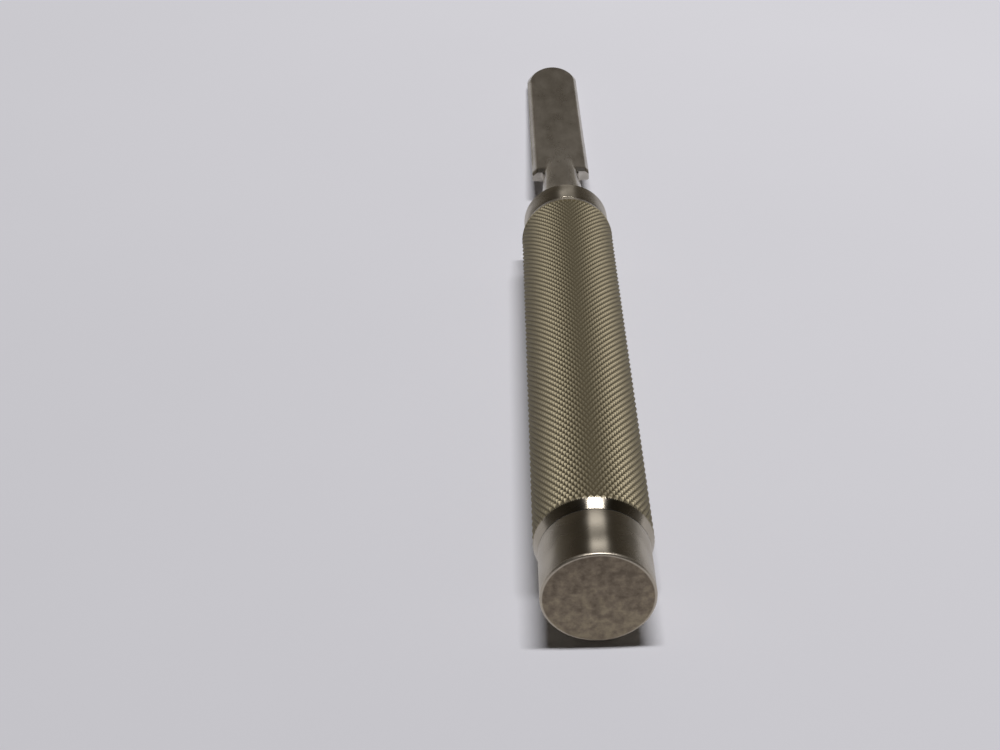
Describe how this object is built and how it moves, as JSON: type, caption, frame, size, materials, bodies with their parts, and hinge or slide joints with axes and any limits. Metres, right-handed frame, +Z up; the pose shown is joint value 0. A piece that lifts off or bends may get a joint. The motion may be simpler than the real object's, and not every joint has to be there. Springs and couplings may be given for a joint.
{
  "type": "bone elevator",
  "caption": "Mallet-struck hand instrument: a heavy knurled round handle with a flat striking butt, and a round-nosed blade that dips forward on a tapered neck.",
  "frame": {"origin": "on the surface that the instrument lies on, below the middle of its length", "axes": "+Y along the instrument from the striking butt to the nose of the blade, +Z up, +X across the flat of the blade"},
  "size_m": [0.019, 0.219, 0.019],
  "materials": {
    "struck_steel": "polished turned band with a dented, dull striking face",
    "turned_steel": "fine turned, half bright",
    "knurled_steel": "fine diamond knurl with burnished crests",
    "satin_blade_steel": "satin, polished at the rolled edges",
    "inner_steel": "plain machined",
    "soft_copper": "soft crush washer, dull"
  },
  "bodies": {
    "root": {"butt_cap": "struck_steel", "cap_stud": "inner_steel", "cap_washer": "soft_copper", "core_rod": "inner_steel", "grip_sleeve": "knurled_steel", "tang_pin": "inner_steel", "front_collar": "turned_steel", "blade": "satin_blade_steel"}
  },
  "joints": []
}
